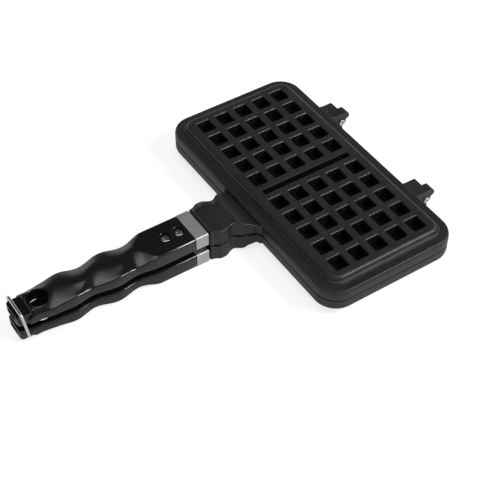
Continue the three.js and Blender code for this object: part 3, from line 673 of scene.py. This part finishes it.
def bail_path():
    """The wire's middle line: out of one side of the lower nose, over the upper nose and back in."""
    inner, leg = NOSE_HALF - BAIL_DEPTH, NOSE_HALF + BAIL_PLAY + WIRE_R
    foot, top = (BAIL_X, BAIL_DROP), (BAIL_X - BAIL_LEAN, BAIL_RISE)
    foot_bend = WIRE_R + BAIL_PLAY
    stops = ((-inner, foot, 0), (-leg, foot, foot_bend), (-leg, top, BAIL_BEND),
             (leg, top, BAIL_BEND), (leg, foot, foot_bend), (inner, foot, 0))
    corners = [Vector((x, y, z)) for y, (x, z), _ in stops]
    path = [corners[0]]
    for i in range(1, len(stops) - 1):
        here, reach, start = corners[i], stops[i][2], path[-1]
        enter = here + (corners[i - 1] - here).normalized() * reach
        leave = here + (corners[i + 1] - here).normalized() * reach
        pieces = int((enter - start).length / BAIL_PIECE)
        path += [start.lerp(enter, step / pieces) for step in range(1, pieces)]
        path += bend(enter, here, leave, steps=8)
    return path + [corners[-1]]


def bail_skin():
    """A round wire along the bail's path, its section carried without twist and smaller at its ends."""
    skin = Skin()
    path = bail_path()
    last = len(path) - 1
    rings = []
    normal = Vector((0, 0, 1))
    for i, point in enumerate(path):
        ahead = (path[min(i + 1, last)] - path[max(i - 1, 0)]).normalized()
        normal = (normal - ahead * normal.dot(ahead)).normalized()
        across = ahead.cross(normal)
        radius = WIRE_R * (WIRE_END_SHARE if i in (0, last) else 1)
        rings.append([point + normal * a + across * b for a, b in arc(0, 0, radius, 0, 360, 20)[:-1]])
    skin.stack(rings, True, True)
    return skin


# Materials

NOISE_RANGE = (0.3, 0.7)


class Nodes:
    """Short helper for a node tree. An input is a number, a colour or another node's result."""

    def __init__(self, owner, coordinates="Object"):
        owner.use_nodes = True
        self.owner = owner
        self.tree = owner.node_tree
        self.place = self.add("TexCoord", {}).outputs[coordinates]

    def feed(self, node, inputs):
        for name, value in inputs.items():
            if isinstance(value, bpy.types.NodeSocket):
                self.tree.links.new(value, node.inputs[name])
            else:
                node.inputs[name].default_value = value
        return node

    def add(self, kind, inputs, **settings):
        node = self.tree.nodes.new("ShaderNode" + kind)
        for setting, value in settings.items():
            setattr(node, setting, value)
        return self.feed(node, inputs)

    def noise(self, scale, detail=3, rough=0.55, stretch=None):
        place = self.place
        if stretch:
            place = self.add("Mapping", {"Vector": place, "Scale": stretch}).outputs["Vector"]
        inputs = {"Vector": place, "Scale": scale, "Detail": detail, "Roughness": rough}
        return self.add("TexNoise", inputs).outputs["Fac"]

    def ramp(self, source, colours):
        """A noise turned into a colour between two."""
        node = self.add("ValToRGB", {"Fac": source})
        for element, position, colour in zip(node.color_ramp.elements, NOISE_RANGE, colours):
            element.position = position
            element.color = colour
        return node.outputs["Color"]

    def span(self, source, to, within=NOISE_RANGE, easing="LINEAR"):
        """A value within one range stretched to another."""
        inputs = {"Value": source, "From Min": within[0], "From Max": within[1],
                  "To Min": to[0], "To Max": to[1]}
        return self.add("MapRange", inputs, interpolation_type=easing).outputs["Result"]

    def mix(self, factor, a, b):
        return self.add("Mix", {0: factor, 6: a, 7: b}, data_type="RGBA").outputs[2]

    def math(self, operation, *values):
        return self.add("Math", dict(enumerate(values)), operation=operation).outputs[0]

    def sum(self, a, b, weight=1.0):
        return self.math("MULTIPLY_ADD", b, weight, a)

    def bump(self, height, strength, distance):
        inputs = {"Height": height, "Strength": strength, "Distance": distance}
        return self.add("Bump", inputs).outputs["Normal"]

    def finish(self, colour, roughness, more):
        """Feeds the material's shader and gives back the material."""
        inputs = {"Base Color": colour, "Roughness": roughness, **more}
        self.feed(self.tree.nodes["Principled BSDF"], inputs)
        return self.owner


def grey(value):
    return (value, value, value, 1)


def material_nodes(name):
    return Nodes(bpy.data.materials.new(name))


def coated_casting():
    """Matt black coating: fine speckle over slow clouds."""
    n = material_nodes("coated_casting")
    speck = n.noise(scale=1000, detail=6, rough=0.85)
    grain = n.noise(scale=800)
    cloud = n.noise(scale=28)
    base = n.ramp(cloud, (grey(0.002), grey(0.005)))
    colour = n.mix(n.span(speck, to=(0, 0.9), within=(0.46, 0.66)), base, grey(0.032))
    roughness = n.sum(n.span(cloud, to=(0.35, 0.42)), n.span(grain, to=(-0.04, 0.06)))
    relief = n.bump(n.sum(grain, speck, weight=0.8), strength=0.6, distance=0.0003)
    return n.finish(colour, roughness, {"Normal": relief})


def matt_painted_shade(name):
    """Rougher, less shiny black with painted shade: a darker colour down in the pockets and slot, in the
    hang hole and on the grip's mating faces.
    """
    n = material_nodes(name)
    cloud = n.noise(scale=60)
    grain = n.noise(scale=900)
    # Painted shade: a darker black than the open coat and moulding
    colour = n.ramp(cloud, (grey(0.001), grey(0.002)))
    roughness = n.sum(n.span(cloud, to=(0.7, 0.8)), n.span(grain, to=(-0.06, 0.08)))
    relief = n.bump(grain, strength=0.3, distance=0.0002)
    return n.finish(colour, roughness, {"Normal": relief, "Specular IOR Level": 0.12})


def handle_moulding():
    """Glossy black plastic, faintly wavy and scuffed."""
    n = material_nodes("handle_moulding")
    cloud = n.noise(scale=22)
    fine = n.noise(scale=1400, detail=2)
    scuff = n.noise(scale=60, detail=5, rough=0.7, stretch=(1, 6, 6))
    wavy = n.noise(scale=180, detail=2)
    colour = n.ramp(cloud, (grey(0.006), grey(0.01)))
    roughness = n.sum(n.span(scuff, to=(0.13, 0.2), within=(0.35, 0.75)), n.span(fine, to=(-0.02, 0.02)))
    relief = n.bump(n.sum(wavy, fine, weight=0.2), strength=0.05, distance=0.0003)
    return n.finish(colour, roughness, {"Normal": relief})


def steel(name, value, roughness, stretch):
    """Bright metal with fine lines drawn along it and faint stains."""
    n = material_nodes(name)
    lines = n.noise(scale=500, rough=0.6, stretch=stretch)
    cloud = n.noise(scale=40)
    between_lines, stain = grey(value * 0.86), grey(value * 0.8)
    lined = n.mix(n.span(lines, to=(0, 1)), between_lines, grey(value))
    colour = n.mix(n.span(cloud, to=(0, 0.5), within=(0.45, 0.75)), lined, stain)
    rough = n.sum(n.span(lines, to=roughness), n.span(cloud, to=(-0.03, 0.04)))
    relief = n.bump(lines, strength=0.12, distance=0.00005)
    return n.finish(colour, rough, {"Normal": relief, "Metallic": 1})


materials = {
    "coated_casting": coated_casting(),
    "handle_moulding": handle_moulding(),
    "steel_band": steel("steel_band", value=0.58, roughness=(0.4, 0.56), stretch=(12, 0.5, 0.5)),
    "zinc_screw": steel("zinc_screw", value=0.45, roughness=(0.2, 0.3), stretch=(2, 2, 2)),
    "bright_wire": steel("bright_wire", value=0.8, roughness=(0.12, 0.2), stretch=(3, 0.6, 3)),
}
# Second finishes with painted shade, for faces down in pockets, in the hang hole and on mating faces
painted_shade_finishes = {
    "coated_casting": matt_painted_shade("casting_pockets_painted_shade"),
    "handle_moulding": matt_painted_shade("moulding_bore_painted_shade"),
}


# Pieces in place of the solids

def settle(obj, slot, body, node):
    """Gives a piece its finish, with the painted-shade one on its marked faces, and its place in the frame.
    """
    faces = [polygon.material_index for polygon in obj.data.polygons]
    obj.data.materials.clear()
    obj.data.materials.append(materials[slot])
    if any(faces):
        obj.data.materials.append(painted_shade_finishes[slot])
    for polygon, index in zip(obj.data.polygons, faces):
        polygon.material_index = index
    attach(obj, body)
    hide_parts(node)


def dress_half(prefix, turned):
    """The casting, band, grip, screws and washers of one half."""
    body = prefix + "_half"
    casting, band = Skin(), Skin()
    plate_shell(casting)
    hinge_lugs(casting)
    neck(casting)
    spigot_and_tang(casting)
    plate = mesh_of(prefix + "_casting", casting, turned, weighted=True)
    settle(plate, "coated_casting", body, prefix + "_plate")
    ferrule(band)
    settle(mesh_of(prefix + "_band", band, turned, weighted=True), "steel_band", body, prefix + "_ferrule")
    settle(handle_piece(prefix + "_grip", turned), "handle_moulding", body, prefix + "_handle")
    for place, x in zip(("front", "rear"), SCREWS_X):
        name = f"{prefix}_{place}"
        settle(screw_piece(name + "_panhead", x, turned), "zinc_screw", body, name + "_screw")
        ring = mesh_of(name + "_spring_ring", washer_skin(x), turned, TRIM_SMOOTH)
        settle(ring, "zinc_screw", body, name + "_washer")


dress_half("upper", False)
dress_half("lower", True)
for name, side in (("left", 1), ("right", -1)):
    rivet = mesh_of(name + "_rivet", pin_skin(side), smooth=TRIM_SMOOTH)
    settle(rivet, "bright_wire", "lower_half", name + "_hinge_pin")
settle(mesh_of("bail_wire", bail_skin(), smooth=WIRE_SMOOTH), "bright_wire", "bail", "latch_bail")


# Studio

CAMERA_PLACE = (-0.30037485, -0.50255427, 0.61069157)
CAMERA_RIGHT = (0.8345236632, -0.5509690433, 0.0018354713)
CAMERA_UP = (0.3989474213, 0.6065555247, 0.6877000440)
CAMERA_BACK = (-0.3800147506, -0.5731697034, 0.7259926174)
CAMERA_LENS, CAMERA_SENSOR = 85.795, 36
CAMERA_NEAR, CAMERA_FAR = 0.01, 50
FLOOR_HALF, FLOOR_HEIGHT = 8, -0.0002

# The floor's own light: to the camera by distance from the middle in metres, and to reflections
GLOW_DISTANCE, GLOW_SEEN, GLOW_MIRRORED = (0.6, 1.6), (0.79, 1), 0.35

# The world's light by the height of the direction it comes from: [heights, strengths]
HORIZON_LIGHT = ((0.2, 0.44), (0.95, 0.06))
ZENITH_LIGHT = ((0.89, 0.985), (0, 1.7))


def place_camera():
    data = bpy.data.cameras.new("camera")
    data.lens = CAMERA_LENS
    data.sensor_width = CAMERA_SENSOR
    data.clip_start = CAMERA_NEAR
    data.clip_end = CAMERA_FAR
    camera = bpy.data.objects.new("camera", data)
    bpy.context.scene.collection.objects.link(camera)
    turn = Matrix((CAMERA_RIGHT, CAMERA_UP, CAMERA_BACK)).transposed().to_4x4()
    camera.matrix_world = Matrix.Translation(CAMERA_PLACE) @ turn
    bpy.context.scene.camera = camera


def floor_material():
    """Pale grey that gives off light of its own to the camera, and less of it to reflections."""
    n = material_nodes("studio_floor")
    cloud = n.noise(scale=3, detail=2)
    colour = n.ramp(cloud, (grey(0.37), grey(0.4)))
    n.finish(colour, n.span(cloud, to=(0.75, 0.85)), {"Specular IOR Level": 0.2})
    rays = n.add("LightPath", {}).outputs
    away = n.add("VectorMath", {0: n.place}, operation="LENGTH").outputs["Value"]
    seen = n.math("MULTIPLY", n.span(away, to=GLOW_SEEN, within=GLOW_DISTANCE), rays["Is Camera Ray"])
    mirrored = n.math("MULTIPLY", rays["Is Glossy Ray"], GLOW_MIRRORED)
    glow = n.add("Emission", {"Strength": n.sum(mirrored, seen)}).outputs[0]
    plain = n.tree.nodes["Principled BSDF"].outputs[0]
    total = n.add("AddShader", {0: plain, 1: glow}).outputs[0]
    n.feed(n.tree.nodes["Material Output"], {"Surface": total})
    return n.owner


def floor():
    mesh = bpy.data.meshes.new("floor")
    corners = [(x * FLOOR_HALF, y * FLOOR_HALF, 0) for x, y in ((-1, -1), (1, -1), (1, 1), (-1, 1))]
    mesh.from_pydata(corners, [], [(0, 1, 2, 3)])
    obj = bpy.data.objects.new("floor", mesh)
    obj.location.z = FLOOR_HEIGHT
    bpy.context.scene.collection.objects.link(obj)
    obj.data.materials.append(floor_material())


def lamp(name, place, size, power):
    """A square lamp that faces the middle of the scene."""
    data = bpy.data.lights.new(name, "AREA")
    data.size = size
    data.energy = power
    obj = bpy.data.objects.new(name, data)
    obj.location = place
    obj.rotation_euler = (-Vector(place)).to_track_quat("-Z", "Y").to_euler()
    bpy.context.scene.collection.objects.link(obj)


def world():
    """White to the camera. It lights the object from near the horizon and from straight above."""
    n = Nodes(bpy.data.worlds.new("studio"), "Generated")
    bpy.context.scene.world = n.owner
    height = n.add("SeparateXYZ", {0: n.place}).outputs["Z"]
    lights = [n.span(height, strengths, heights, "SMOOTHSTEP")
              for heights, strengths in (HORIZON_LIGHT, ZENITH_LIGHT)]
    seen = n.add("LightPath", {}).outputs["Is Camera Ray"]
    strength = n.math("MAXIMUM", seen, n.math("ADD", *lights))
    n.feed(n.tree.nodes["Background"], {"Color": grey(1), "Strength": strength})


place_camera()
floor()
world()
lamp("overhead", (-0.1, -0.15, 1.5), size=0.9, power=2)
lamp("key", (0.84, -0.84, 1.0), size=0.45, power=16)
bpy.context.scene.view_settings.view_transform = "Standard"
